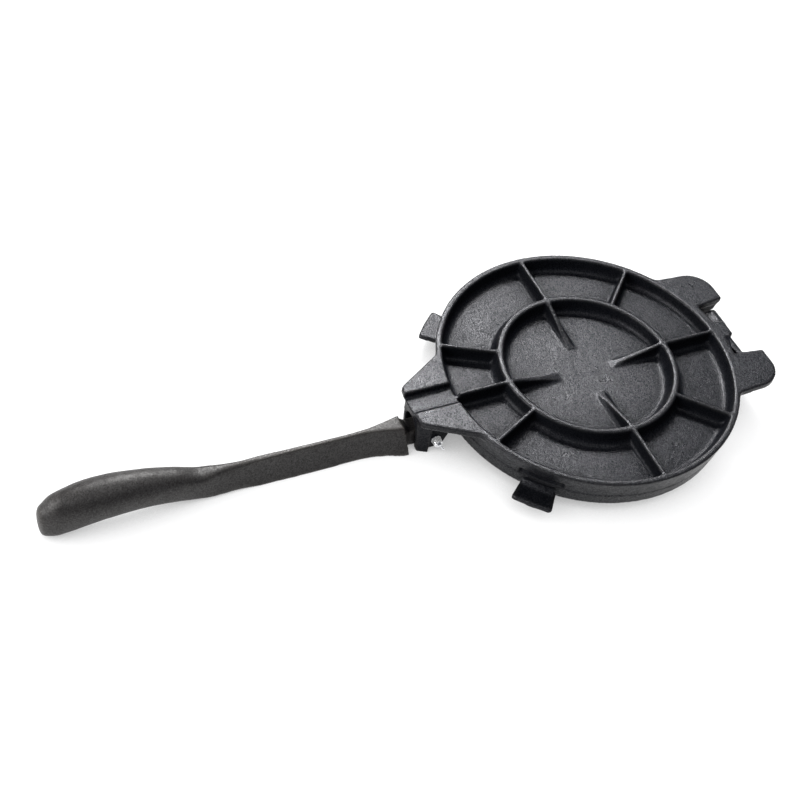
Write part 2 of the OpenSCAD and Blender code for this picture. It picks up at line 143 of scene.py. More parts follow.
class ShaderTree:
    """A new material whose texture nodes are added one call at a time."""

    # Rays that feel for things nearby, and the sockets of a Mix node that carry colours.
    FEELERS = 5
    FIRST_COLOUR, SECOND_COLOUR, MIXED_COLOUR = 6, 7, 2

    def __init__(self, name: str) -> None:
        """Starts the material with one Principled shader.

        Args:
            name: The material's name.
        """
        self.material = bpy.data.materials.new(name)
        self.material.use_nodes = True
        self.tree = self.material.node_tree
        self.shader = self.tree.nodes["Principled BSDF"]
        self.place = self.tree.nodes.new("ShaderNodeTexCoord").outputs["Object"]

    def set(self, **sockets: float | Sequence[float]) -> None:
        """Sets values straight on the shader's sockets.

        Args:
            **sockets: Socket names with underscores for spaces, and their values.
        """
        for name, value in sockets.items():
            self.shader.inputs[name.replace("_", " ")].default_value = value

    def drive(self, name: str, value: bpy.types.NodeSocket) -> None:
        """Links a value to one of the shader's sockets."""
        self.tree.links.new(value, self.shader.inputs[name])

    def noise(
        self, grain: float, detail: float, roughness: float, stretch: Sequence[float] = (1, 1, 1)
    ) -> bpy.types.NodeSocket:
        """Adds cloudy noise.

        Args:
            grain: The size of one blotch.
            detail: How many finer layers are added.
            roughness: The strength of the finer layers.
            stretch: The relative frequency along each axis.

        Returns:
            The noise value, about 0.5 in the middle.
        """
        mapping = self.tree.nodes.new("ShaderNodeMapping")
        mapping.inputs["Scale"].default_value = stretch
        self.tree.links.new(self.place, mapping.inputs["Vector"])
        node = self.tree.nodes.new("ShaderNodeTexNoise")
        node.inputs["Scale"].default_value = 1 / grain
        node.inputs["Detail"].default_value = detail
        node.inputs["Roughness"].default_value = roughness
        self.tree.links.new(mapping.outputs["Vector"], node.inputs["Vector"])
        return node.outputs["Fac"]

    def cells(self, spacing: float, output: Cell) -> bpy.types.NodeSocket:
        """Adds scattered cells.

        Args:
            spacing: The mean distance between cells.
            output: What the cells give.

        Returns:
            The value.
        """
        node = self.tree.nodes.new("ShaderNodeTexVoronoi")
        node.inputs["Scale"].default_value = 1 / spacing
        self.tree.links.new(self.place, node.inputs["Vector"])
        return node.outputs[output.value]

    def openness(self, reach: float) -> bpy.types.NodeSocket:
        """Measures how open a surface is to the room.

        Args:
            reach: How far away a thing may stand and still shade the surface.

        Returns:
            0 where the surface is shut in and 1 where it is open.
        """
        node = self.tree.nodes.new("ShaderNodeAmbientOcclusion")
        node.samples = self.FEELERS
        node.inputs["Distance"].default_value = reach
        return node.outputs["AO"]

    def painted(self, name: str) -> bpy.types.NodeSocket:
        """Reads a value that was written on the mesh's points.

        Args:
            name: The attribute's name.

        Returns:
            The value.
        """
        node = self.tree.nodes.new("ShaderNodeAttribute")
        node.attribute_name = name
        return node.outputs["Fac"]

    def span(
        self,
        value: bpy.types.NodeSocket,
        source: tuple[float, float],
        target: tuple[float, float] = (0, 1),
    ) -> bpy.types.NodeSocket:
        """Maps a range of a value to another range, held at both ends.

        Args:
            value: The value to map.
            source: The range to read.
            target: The range to give.

        Returns:
            The mapped value.
        """
        node = self.tree.nodes.new("ShaderNodeMapRange")
        for name, number in zip(("From Min", "From Max", "To Min", "To Max"), (*source, *target)):
            node.inputs[name].default_value = number
        self.tree.links.new(value, node.inputs["Value"])
        return node.outputs["Result"]

    def combine(
        self,
        first: bpy.types.NodeSocket,
        second: bpy.types.NodeSocket,
        operation: Arithmetic = Arithmetic.ADD,
    ) -> bpy.types.NodeSocket:
        """Joins two values by arithmetic.

        Args:
            first: The first value.
            second: The second value.
            operation: How they are joined.

        Returns:
            The result.
        """
        node = self.tree.nodes.new("ShaderNodeMath")
        node.operation = operation.value
        self.tree.links.new(first, node.inputs[0])
        self.tree.links.new(second, node.inputs[1])
        return node.outputs["Value"]

    def tint(
        self,
        share: bpy.types.NodeSocket,
        first: Colour | bpy.types.NodeSocket,
        second: Colour,
    ) -> bpy.types.NodeSocket:
        """Blends two colours.

        Args:
            share: 0 gives the first colour and 1 the second.
            first: The first colour.
            second: The second colour.

        Returns:
            The blended colour.
        """
        node = self.tree.nodes.new("ShaderNodeMix")
        node.data_type = "RGBA"
        self.tree.links.new(share, node.inputs["Factor"])
        if isinstance(first, tuple):
            node.inputs[self.FIRST_COLOUR].default_value = (*first, 1.0)
        else:
            self.tree.links.new(first, node.inputs[self.FIRST_COLOUR])
        node.inputs[self.SECOND_COLOUR].default_value = (*second, 1.0)
        return node.outputs[self.MIXED_COLOUR]

    def emboss(self, layers: Sequence[tuple[bpy.types.NodeSocket, float, float]]) -> None:
        """Stacks bumps on the shader's normal.

        Args:
            layers: For each bump its height, its depth in metres and its strength.
        """
        normal = None
        for height, depth, strength in layers:
            node = self.tree.nodes.new("ShaderNodeBump")
            node.inputs["Distance"].default_value = depth
            node.inputs["Strength"].default_value = strength
            self.tree.links.new(height, node.inputs["Height"])
            if normal is not None:
                self.tree.links.new(normal, node.inputs["Normal"])
            normal = node.outputs["Normal"]
        self.tree.links.new(normal, self.shader.inputs["Normal"])


@dataclass(frozen=True)
class SeasonedIron:
    """Sand-cast iron under baked oil: dark, grainy, and paler along its edges, from wear and as a
    painted edge highlight.

    Each grain of sand has a gloss of its own by chance. Upright walls and nooks take a share
    of it, painted_wall_shading and painted_nook_shade: painted shade on walls and in nooks.
    A painted_wall_shading above 1 paints light on the walls instead.
    """

    name: str
    deep: Colour = (0.0034, 0.0040, 0.0054)
    open: Colour = (0.0080, 0.0084, 0.0104)
    rubbed_and_lit: Colour = (0.013, 0.0128, 0.0135)
    sheen: Colour = (0.95, 0.95, 1.0)
    roughness: tuple[float, float] = (0.28, 0.41)
    gloss: tuple[float, float] = (0.11, 0.57)
    # Painted shade on upright walls; a value above 1 paints light on them.
    painted_wall_shading: float = 0.50
    wall_span: tuple[float, float] = (0.55, 0.95)
    # Painted shade in nooks, read from how open the surface is.
    painted_nook_shade: float = 0.27
    nook_span: tuple[float, float] = (0.66, 0.97)
    nook_reach: float = 32 * MM
    blotch_size: float = 24 * MM
    stain_size: float = 7 * MM
    swell_size: float = 2.4 * MM
    swell_depth: float = 0.16 * MM
    grain: float = 0.68 * MM
    grain_depth: float = 0.14 * MM

    def material(self) -> bpy.types.Material:
        """Builds the finish.

        Returns:
            The material.
        """
        tree = ShaderTree(self.name)
        blotch = tree.noise(self.blotch_size, 5, 0.6)
        stain = tree.noise(self.stain_size, 4, 0.65)
        swell = tree.noise(self.swell_size, 3, 0.6)
        sand = tree.span(tree.cells(self.grain, Cell.DISTANCE), (0.0, 0.7), (1.0, 0.0))
        chance = tree.cells(self.grain, Cell.CHANCE)

        clouds = tree.combine(blotch, tree.combine(stain, chance))
        ground = tree.tint(tree.span(clouds, (0.9, 2.0)), self.deep, self.open)
        # Paler edges: wear from handling and a painted edge highlight.
        edge = tree.span(tree.painted(EDGE_WEAR_AND_HIGHLIGHT), (0.10, 0.85))
        patchy = tree.span(stain, (0.30, 0.62), (0.35, 1.0))
        wear_and_highlight = tree.combine(edge, patchy, Arithmetic.MULTIPLY)
        tree.drive("Base Color", tree.tint(wear_and_highlight, ground, self.rubbed_and_lit))

        smears = tree.span(stain, (0.3, 0.7), (-0.05, 0.05))
        tree.drive("Roughness", tree.combine(smears, tree.span(blotch, (0.3, 0.7), self.roughness)))

        # Painted shade: the gloss is cut on upright walls and in nooks, where shade would fall.
        wall = tree.span(tree.painted(WALL_ATTRIBUTE), self.wall_span, (1.0, self.painted_wall_shading))
        nook = tree.span(tree.openness(self.nook_reach), self.nook_span, (self.painted_nook_shade, 1.0))
        shaded = tree.combine(wall, nook, Arithmetic.MULTIPLY)
        glitter = tree.span(chance, (0.1, 0.9), self.gloss)
        tree.drive("Specular IOR Level", tree.combine(glitter, shaded, Arithmetic.MULTIPLY))
        tree.set(Specular_Tint=(*self.sheen, 1.0))
        tree.emboss([(swell, self.swell_depth, 0.6), (sand, self.grain_depth, 0.7)])
        return tree.material


@dataclass(frozen=True)
class BrightZinc:
    """Bright zinc plate over turned steel, a little dulled by handling.

    Its painted_glint is a faint glow, a painted reflection that stands in for the room's
    reflections.
    """

    name: str
    bright: Colour = (0.72, 0.73, 0.75)
    dull: Colour = (0.40, 0.41, 0.44)
    roughness: tuple[float, float] = (0.16, 0.34)
    grain: float = 1.3 * MM
    grain_depth: float = 0.03 * MM
    scratch_size: float = 0.25 * MM
    scratch_depth: float = 0.01 * MM
    painted_glint: float = 0.0

    def material(self) -> bpy.types.Material:
        """Builds the finish.

        Returns:
            The material.
        """
        tree = ShaderTree(self.name)
        cloud = tree.noise(self.grain, 4, 0.6)
        scratch = tree.noise(self.scratch_size, 2, 0.5, (1, 6, 1))
        tree.drive("Base Color", tree.tint(tree.span(cloud, (0.35, 0.65)), self.dull, self.bright))
        tree.drive("Roughness", tree.span(cloud, (0.3, 0.7), self.roughness))
        tree.emboss([(cloud, self.grain_depth, 0.4), (scratch, self.scratch_depth, 0.4)])
        if self.painted_glint:
            # Painted reflection: the metal glows a little, as if it mirrored the room.
            glow = tree.span(cloud, (0.3, 0.7), (0.5 * self.painted_glint, self.painted_glint))
            tree.drive("Emission Strength", glow)
            tree.set(Emission_Color=(1, 1, 1, 1))
        tree.set(Metallic=1.0)
        return tree.material


@dataclass(frozen=True)
class DrawnSteel:
    """Drawn steel rod with faint lines along its length and a trace of old oil."""

    name: str
    bright: Colour = (0.24, 0.24, 0.25)
    oiled: Colour = (0.09, 0.085, 0.08)
    roughness: tuple[float, float] = (0.24, 0.42)
    line_size: float = 0.5 * MM
    line_depth: float = 0.02 * MM
    smear_size: float = 6 * MM

    def material(self) -> bpy.types.Material:
        """Builds the finish.

        Returns:
            The material.
        """
        tree = ShaderTree(self.name)
        line = tree.noise(self.line_size, 3, 0.5, (1, 0.06, 1))
        smear = tree.noise(self.smear_size, 4, 0.6)
        tree.drive("Base Color", tree.tint(tree.span(smear, (0.38, 0.62)), self.oiled, self.bright))
        tree.drive("Roughness", tree.span(line, (0.3, 0.7), self.roughness))
        tree.emboss([(line, self.line_depth, 0.5)])
        tree.set(Metallic=1.0)
        return tree.material


@dataclass(frozen=True)
class StudioPaper:
    """Matt white paper sweep with an even glow, which dims close to whatever stands on it as a
    painted contact shadow.
    """

    name: str = "studio_paper"
    white: Colour = (0.20, 0.20, 0.20)
    fibre_white: Colour = (0.22, 0.22, 0.22)
    fibre_size: float = 2 * MM
    glow: float = 0.97
    shade: float = 0.20
    reach: float = 0.045
    open_span: tuple[float, float] = (0.0, 0.70)

    def material(self) -> bpy.types.Material:
        """Builds the finish.

        Returns:
            The material.
        """
        tree = ShaderTree(self.name)
        fibre = tree.noise(self.fibre_size, 3, 0.6)
        tree.drive("Base Color", tree.tint(fibre, self.white, self.fibre_white))
        # Painted contact shadow: the glow drops to the shade value where things stand close.
        glow = tree.span(tree.openness(self.reach), self.open_span, (self.shade, self.glow))
        tree.drive("Emission Strength", glow)
        tree.set(Roughness=1.0, Specular_IOR_Level=0.0, Emission_Color=(1, 1, 1, 1))
        return tree.material


BASE_IRON = SeasonedIron("base_iron")
# Darker colours than the base's: painted shade on the lid, whose wall lies in shade under the base.
# Its nooks take less painted shade, so that its tabs stay light.
LID_IRON = SeasonedIron(
    "lid_iron",
    deep=(0.0026, 0.0031, 0.0042),
    open=(0.0060, 0.0064, 0.0080),
    rubbed_and_lit=(0.010, 0.010, 0.011),
    painted_nook_shade=0.75,
)
# On the lever, painted_wall_shading above 1 paints light on its sides, and its nooks take painted
# shade.
LEVER_IRON = SeasonedIron(
    "lever_iron",
    deep=(0.0170, 0.0156, 0.0152),
    open=(0.0280, 0.0260, 0.0252),
    rubbed_and_lit=(0.042, 0.038, 0.035),
    sheen=(1.0, 0.99, 0.98),
    roughness=(0.41, 0.53),
    gloss=(0.18, 0.56),
    painted_wall_shading=1.20,
    painted_nook_shade=0.62,
    swell_depth=0.10 * MM,
    grain_depth=0.08 * MM,
)
BOLT_ZINC = BrightZinc("zinc_bolt", (0.85, 0.86, 0.88), (0.55, 0.56, 0.59), painted_glint=0.08)
WASHER_ZINC = BrightZinc("zinc_washer")
NUT_ZINC = BrightZinc(
    "zinc_nut",
    bright=(0.90, 0.90, 0.91),
    dull=(0.70, 0.71, 0.73),
    roughness=(0.16, 0.32),
    grain=1.0 * MM,
    painted_glint=0.30,
)


# ---- mesh helpers -----------------------------------------------------------------------


def new_piece(name: str, mesh: bpy.types.Mesh | bpy.types.Curve) -> bpy.types.Object:
    """Puts a shape in the scene.

    Args:
        name: The piece's name.
        mesh: Its mesh or curve, placed in the row frame.

    Returns:
        The new object.
    """
    piece = bpy.data.objects.new(name, mesh)
    bpy.context.scene.collection.objects.link(piece)
    return piece


def shown_mesh(piece: bpy.types.Object) -> bpy.types.Mesh:
    """Gives a new mesh of what a piece's curve or modifiers make of it."""
    return bpy.data.meshes.new_from_object(
        piece.evaluated_get(bpy.context.evaluated_depsgraph_get())
    )


def settle_modifiers(piece: bpy.types.Object) -> None:
    """Replaces a piece's mesh by what its modifiers make of it, and clears them.

    Args:
        piece: The piece.
    """
    mesh = shown_mesh(piece)
    piece.modifiers.clear()
    piece.data = mesh


def shade_smooth(mesh: bpy.types.Mesh, sharp_angle: float | None = None) -> None:
    """Shades a mesh smoothly.

    Args:
        mesh: The mesh.
        sharp_angle: The angle in degrees above which an edge stays sharp, if any does.
    """
    mesh.polygons.foreach_set("use_smooth", [True] * len(mesh.polygons))
    if sharp_angle is not None:
        mesh.set_sharp_from_angle(angle=math.radians(sharp_angle))


def from_bmesh(name: str, shape: bmesh.types.BMesh) -> bpy.types.Mesh:
    """Turns a finished bmesh into a mesh with outward normals.

    Args:
        name: The mesh's name.
        shape: The bmesh, which is freed.

    Returns:
        The mesh.
    """
    bmesh.ops.recalc_face_normals(shape, faces=shape.faces)
    mesh = bpy.data.meshes.new(name)
    shape.to_mesh(mesh)
    shape.free()
    return mesh


def add_ring(
    shape: bmesh.types.BMesh, turn: Matrix, height: float, radii: Sequence[float]
) -> Ring:
    """Adds a ring of points round an axis.

    Args:
        shape: The bmesh to add to.
        turn: Carries the ring, whose axis is Z, to its place.
        height: Its place along the axis.
        radii: The radius at each of its evenly spaced points.

    Returns:
        The points.
    """
    ring = []
    for i, radius in enumerate(radii):
        angle = 2 * math.pi * i / len(radii)
        spot = Vector((radius * math.cos(angle), radius * math.sin(angle), height))
        ring.append(shape.verts.new(turn @ spot))
    return ring


def join_rings(shape: bmesh.types.BMesh, rings: Sequence[Ring], ends: Ends) -> None:
    """Joins neighbouring rings of points by bands of faces.

    Args:
        shape: The bmesh that holds the points.
        rings: The rings, all with the same number of points.
        ends: How the stack is finished.
    """
    pairs = list(zip(rings, rings[1:]))
    if ends is Ends.LOOPED:
        pairs.append((rings[-1], rings[0]))
    for low, high in pairs:
        for i in range(len(low)):
            after = (i + 1) % len(low)
            corners = list(dict.fromkeys((low[i], low[after], high[after], high[i])))
            if len(corners) > 2:
                shape.faces.new(corners)
    if ends is Ends.CAPPED:
        shape.faces.new(rings[0])
        shape.faces.new(rings[-1])


def revolve(
    shape: bmesh.types.BMesh, profile: Sequence[tuple[float, float]], steps: int, turn: Matrix
) -> None:
    """Adds a closed turned body to a bmesh.

    Args:
        shape: The bmesh to add to.
        profile: Radius and height of each point, from the axis or round a closed loop.
        steps: How many sides the body has.
        turn: Carries the body, whose axis is Z, to its place.
    """
    rings = []
    for radius, height in profile:
        if radius < ON_AXIS:
            rings.append([shape.verts.new(turn @ Vector((0, 0, height)))] * steps)
        else:
            rings.append(add_ring(shape, turn, height, [radius] * steps))
    hollow = profile[0][0] > ON_AXIS and profile[-1][0] > ON_AXIS
    join_rings(shape, rings, Ends.LOOPED if hollow else Ends.OPEN)


def point_values(mesh: bpy.types.Mesh, kind: PointValue) -> np.ndarray:
    """Reads the places or the normals of a mesh's points.

    Args:
        mesh: The mesh.
        kind: Which of them is read.

    Returns:
        One row of three numbers for each point.
    """
    values = np.empty(len(mesh.vertices) * 3, np.float32)
    source = mesh.vertices if kind is PointValue.PLACE else mesh.vertex_normals
    source.foreach_get(kind.value, values)
    return values.reshape(-1, 3).astype(float)


def move_points(mesh: bpy.types.Mesh, places: np.ndarray) -> None:
    """Moves every point of a mesh to a new place, given by a row of three numbers."""
    mesh.vertices.foreach_set("co", places.ravel().astype(np.float32))
    mesh.update()


class Neighbours:
    """Averages values over the edges of a mesh."""

    def __init__(self, mesh: bpy.types.Mesh) -> None:
        """Reads the edges of a mesh once.

        Args:
            mesh: The mesh.
        """
        ends = np.empty(len(mesh.edges) * 2, np.int32)
        mesh.edges.foreach_get("vertices", ends)
        self.count = len(mesh.vertices)
        self.here = ends.reshape(-1, 2).ravel()
        self.there = ends.reshape(-1, 2)[:, ::-1].ravel()
        self.degree = np.maximum(np.bincount(self.here, minlength=self.count), 1)

    def mean(self, values: np.ndarray) -> np.ndarray:
        """Gives each point the mean of its neighbours' values.

        Args:
            values: One number for each point.

        Returns:
            The means.
        """
        return np.bincount(self.here, values[self.there], self.count) / self.degree

    def blur(self, values: np.ndarray, rounds: int) -> np.ndarray:
        """Spreads values over the mesh.

        Args:
            values: One number for each point.
            rounds: How many steps the values spread.

        Returns:
            The blurred values.
        """
        for _ in range(rounds):
            values = (values + self.mean(values)) / 2
        return values


def bulge(mesh: bpy.types.Mesh, around: Neighbours) -> np.ndarray:
    """Measures how far each point stands out from its neighbours.

    Args:
        mesh: The mesh.
        around: Its edges.

    Returns:
        Heights in metres, above 0 on outer edges and below 0 in inner corners.
    """
    places = point_values(mesh, PointValue.PLACE)
    normals = point_values(mesh, PointValue.NORMAL)
    return sum((places[:, k] - around.mean(places[:, k])) * normals[:, k] for k in range(3))


# ---- castings ---------------------------------------------------------------------------


@dataclass(frozen=True)
class Finder:
    """Finds the outer edges or inner corners of a skin.

    A place counts in full where it stands out by a share of a voxel. The find then spreads
    over some rounds of neighbours and is strengthened again.
    """

    full_share: float
    rounds: int
    gain: float

    def find(self, heights: np.ndarray, voxel: float, around: Neighbours) -> np.ndarray:
        """Rates each point.

        Args:
            heights: How far each point stands out.
            voxel: The size of the skin's net.
            around: The skin's edges.

        Returns:
            A share from 0 to 1 for each point.
        """
        found = np.clip(heights / (self.full_share * voxel), 0, 1)
        return np.clip(around.blur(found, self.rounds) * self.gain, 0, 1)


ROOTS = Finder(0.16, 4, 3.0)
EDGES = Finder(0.10, 2, 1.6)


@dataclass
class Casting:
    """One sand casting: a skin over its solid, with filled roots and softened edges.

    Points with less than least_share of a smoothing are left out of it. At the height crisp_z,
    if there is one, the edge stays sharp over crisp_h on both sides. There the wall's radius is
    read beyond wall_from, and points up to lip_h away and within lip_reach of it are squared.
    """

    node: str
    body: Body
    slot: Slot
    finish: SeasonedIron
    voxel: float = 0.8 * MM
    edge_passes: int = 3
    root_passes: int = 16
    least_share: float = 0.05
    ripple: float = 0.16 * MM
    ripple_size: float = 5.0 * MM
    crisp_z: float | None = None
    crisp_h: float = 1.6 * MM
    wall_from: float = 1.0 * MM
    lip_h: float = 0.9 * MM
    lip_reach: float = 1.3 * MM
    piece: bpy.types.Object | None = None

    def build(self, nodes: dict[str, bpy.types.Object]) -> bpy.types.Object:
        """Builds the skin and puts it in the solid's place.

        Args:
            nodes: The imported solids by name.

        Returns:
            The finished piece.
        """
        mesh = nodes[self.node].data.copy()
        mesh.materials.clear()
        self.piece = new_piece(f"{self.node}_skin", mesh)
        self._remesh()
        self._reshape()
        self._fill_roots()
        self._soften()
        self._close_seam()
        self._ripple()
        self._mark_edges()
        self.piece.data.materials.append(self.finish.material())
        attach(self.piece, self.body.value)
        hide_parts(self.node)
        return self.piece

    def _remesh(self) -> None:
        """Gives the skin an even net of small faces."""
        modifier = self.piece.modifiers.new("net", "REMESH")
        modifier.mode = "VOXEL"
        modifier.voxel_size = self.voxel
        modifier.use_smooth_shade = True
        settle_modifiers(self.piece)

    def _reshape(self) -> None:
        """Corrects the form; a plain casting keeps the form of its solid."""

    def _fill_roots(self) -> None:
        """Rounds inner corners as a sand mould leaves them."""
        mesh = self.piece.data
        around = Neighbours(mesh)
        corners = ROOTS.find(-bulge(mesh, around), self.voxel, around)
        self._smooth("roots", self.root_passes, corners)

    def _soften(self) -> None:
        """Takes the sharpness off every outer edge but the crisp one."""
        share = None
        if self.crisp_z is not None:
            height = point_values(self.piece.data, PointValue.PLACE)[:, 2]
            share = (abs(height - self.crisp_z) > self.crisp_h).astype(float)
        self._smooth("edges", self.edge_passes, share)

    def _smooth(self, name: str, passes: int, share: np.ndarray | None) -> None:
        """Smooths the skin.

        Args:
            name: A name for the work.
            passes: How many times it is smoothed.
            share: How much each point takes part, or None for all in full.
        """
        modifier = self.piece.modifiers.new(name, "SMOOTH")
        modifier.factor = 0.5
        modifier.iterations = passes
        if share is not None:
            group = self.piece.vertex_groups.new(name=name)
            for index in np.flatnonzero(share > self.least_share):
                group.add([int(index)], float(share[index]), "REPLACE")
            modifier.vertex_group = group.name
        settle_modifiers(self.piece)
        self.piece.vertex_groups.clear()

    def _close_seam(self) -> None:
        """Squares the wall's lip at the parting face, so that shut plates show no groove."""
        if self.crisp_z is None:
            return
        places = point_values(self.piece.data, PointValue.PLACE)
        away = abs(places[:, 2] - self.crisp_z)
        spokes = places[:, :2] - np.array([PLATE_X, 0.0])
        reach = np.hypot(*spokes.T)
        beyond = (away > self.wall_from) & (away < self.crisp_h) & (reach > PLATE_LIP)
        wall = float(np.median(reach[beyond]))
        lip = (away < self.lip_h) & (abs(reach - wall) < self.lip_reach)
        places[lip, :2] += spokes[lip] * (wall / reach[lip] - 1)[:, None]
        move_points(self.piece.data, places)

    def _ripple(self) -> None:
        """Adds the slight unevenness of a sand-cast wall."""
        clouds = bpy.data.textures.new(f"{self.node}_sand", "CLOUDS")
        clouds.noise_scale = self.ripple_size
        clouds.noise_depth = 2
        modifier = self.piece.modifiers.new("sand", "DISPLACE")
        modifier.texture = clouds
        modifier.texture_coords = "LOCAL"
        modifier.strength = self.ripple
        modifier.mid_level = 0.5
        settle_modifiers(self.piece)
        bpy.data.textures.remove(clouds)

    def _mark_edges(self) -> None:
        """Writes how far each point's edge is paler, from wear and as a painted edge highlight, and
        how upright the point stands, from 0 to 1.
        """
        mesh = self.piece.data
        around = Neighbours(mesh)
        wear_and_highlight = EDGES.find(bulge(mesh, around), self.voxel, around)
        upright = 1 - abs(point_values(mesh, PointValue.NORMAL)[:, 2])
        for name, values in ((EDGE_WEAR_AND_HIGHLIGHT, wear_and_highlight), (WALL_ATTRIBUTE, upright)):
            attribute = mesh.attributes.new(name, "FLOAT", "POINT")
            attribute.data.foreach_set("value", values.astype(np.float32))
        shade_smooth(mesh)


@dataclass(frozen=True)
class Section:
    """A cross-section of the lever, or one for each point of its skin.

    It has a top and a bottom, a half-width at each, all in millimetres, and a squareness, which
    is 2 for an oval and grows as the corners fill out.
    """

    top: Numbers
    bottom: Numbers
    top_half: Numbers
    bottom_half: Numbers
    squareness: Numbers

    def middle(self) -> Numbers:
        """Gives the height of the middle."""
        return (self.top + self.bottom) / 2

    def rise(self) -> Numbers:
        """Gives half the height of the section."""
        return (self.top - self.bottom) / 2

    def half_width(self, up: np.ndarray) -> np.ndarray:
        """Gives the half-width at a place from -1 at the bottom to 1 at the top."""
        spread = (self.top_half - self.bottom_half) / 2
        return (self.top_half + self.bottom_half) / 2 + up * spread

    def outline(self, angle: np.ndarray) -> np.ndarray:
        """Gives how far the outline is from the middle of a section that is 1 wide and high."""
        power = self.squareness
        return (abs(np.cos(angle)) ** power + abs(np.sin(angle)) ** power) ** (-1 / power)


@dataclass(frozen=True)
class Station:
    """A place along the lever, in millimetres, with its solid's section and its skin's."""

    x: float
    solid: Section
    skin: Section


@dataclass(frozen=True)
class SoftSpan:
    """A stretch of the lever that is smoothed, by its middle and its reach in millimetres."""

    middle: float
    reach: float
    passes: int


@dataclass
class LeverCasting(Casting):
    """The lever, with its bar squared up and its shoulder and grip filled out.

    Past shoulder_x the skin takes over from the solid's form within fade.
    """

    stations: tuple[Station, ...] = (
        Station(-15.3, Section(18.7, 0.0, 5.46, 10.29, 9.0), Section(20.0, 0.0, 5.9, 13.9, 22.0)),
        Station(-21.1, Section(18.7, 0.0, 4.25, 8.80, 9.0), Section(20.0, 0.0, 4.8, 12.4, 22.0)),
        Station(-28.6, Section(18.7, 0.0, 2.85, 7.25, 9.0), Section(20.0, 0.0, 3.4, 10.0, 22.0)),
        Station(-36.5, Section(18.7, 0.0, 1.83, 6.80, 9.0), Section(20.0, 0.0, 2.3, 8.4, 22.0)),
        Station(-44.6, Section(18.7, 0.0, 1.03, 6.56, 9.0), Section(20.0, 0.0, 1.5, 7.5, 22.0)),
        Station(-62.6, Section(18.7, 0.0, 0.84, 7.04, 9.0), Section(19.9, 0.0, 1.3, 7.5, 22.0)),
        Station(-85.7, Section(18.7, 0.1, 0.95, 7.46, 8.0), Section(20.0, 0.0, 1.4, 7.5, 22.0)),
        Station(-106.7, Section(18.7, 0.2, 1.37, 5.88, 7.0), Section(20.2, 0.0, 1.8, 7.3, 22.0)),
        Station(-118.0, Section(18.8, 0.3, 1.75, 5.65, 6.0), Section(20.5, 0.0, 2.2, 7.5, 20.0)),
        Station(-129.8, Section(18.9, 0.4, 2.10, 5.46, 5.0), Section(20.8, 0.0, 2.6, 8.0, 14.0)),
        Station(-141.6, Section(21.0, 0.6, 5.00, 6.70, 3.6), Section(21.2, 0.0, 4.6, 8.3, 7.0)),
        Station(-150.8, Section(22.6, 0.8, 7.35, 7.77, 2.6), Section(21.0, 0.0, 7.2, 8.0, 3.6)),
        Station(-164.0, Section(26.6, 2.4, 9.30, 9.40, 2.2), Section(27.4, 2.2, 9.3, 9.4, 2.3)),
        Station(-182.3, Section(30.2, 4.9, 11.1, 11.1, 2.0), Section(31.6, 6.0, 11.1, 11.1, 2.0)),
        Station(-201.0, Section(33.2, 5.0, 12.8, 12.8, 2.0), Section(34.2, 7.1, 12.6, 12.6, 2.0)),
        Station(-212.7, Section(33.9, 4.6, 13.3, 13.3, 2.0), Section(34.0, 6.9, 13.1, 13.1, 2.0)),
        Station(-223.0, Section(33.6, 2.8, 12.7, 12.7, 2.0), Section(33.4, 4.6, 12.7, 12.7, 2.0)),
        Station(-234.8, Section(31.5, 1.0, 11.1, 11.1, 2.0), Section(31.3, 1.0, 11.3, 11.3, 2.0)),
        Station(-241.0, Section(28.6, 2.4, 9.2, 9.2, 2.0), Section(28.3, 0.9, 10.0, 10.0, 2.1)),
        Station(-245.3, Section(25.7, 3.7, 6.9, 6.9, 2.0), Section(24.6, 1.0, 8.2, 8.2, 2.2)),
        Station(-249.5, Section(17.3, 10.5, 1.7, 1.7, 2.0), Section(19.6, 3.4, 4.4, 4.4, 2.2)),
    )
    soft_spans: tuple[SoftSpan, ...] = (SoftSpan(-252.0, 16.0, 26), SoftSpan(-143.0, 26.0, 32))
    soft_pull: float = 0.6
    shoulder_x: float = -11.6 * MM
    fade: float = 0.8 * MM

    def _reshape(self) -> None:
        """Moves each point from the solid's section to the skin's, and softens tip and neck."""
        mesh = self.piece.data
        places = point_values(mesh, PointValue.PLACE)
        along = places[:, 0] / MM
        solid = self._sections_at(along, [station.solid for station in self.stations])
        skin = self._sections_at(along, [station.skin for station in self.stations])

        up = (places[:, 2] / MM - solid.middle()) / solid.rise()
        across = places[:, 1] / MM / solid.half_width(np.clip(up, -1, 1))
        angle = np.arctan2(up, across)
        squarer = skin.outline(angle) / solid.outline(angle)
        across, up = across * squarer, up * squarer
        moved = places.copy()
        moved[:, 1] = across * skin.half_width(up) * MM
        moved[:, 2] = (skin.middle() + up * skin.rise()) * MM
        share = np.clip((self.shoulder_x - places[:, 0]) / self.fade, 0, 1)[:, None]
        places += (moved - places) * share

        around = Neighbours(mesh)
        for span in self.soft_spans:
            nearness = 2 - 2 * abs(places[:, 0] / MM - span.middle) / span.reach
            pull = self.soft_pull * np.clip(nearness, 0, 1)
            for _ in range(span.passes):
                for k in range(3):
                    places[:, k] += (around.mean(places[:, k]) - places[:, k]) * pull
        move_points(mesh, places)

    def _sections_at(self, along: np.ndarray, sections: Sequence[Section]) -> Section:
        """Blends the sections between the stations.

        Args:
            along: The X of each point in millimetres.
            sections: A section for each station.

        Returns:
            The section at each point.
        """
        at = [station.x for station in reversed(self.stations)]
        columns = zip(*(astuple(section) for section in reversed(sections)))
        return Section(*(np.interp(along, at, column) for column in columns))


# ---- pivot hardware ---------------------------------------------------------------------


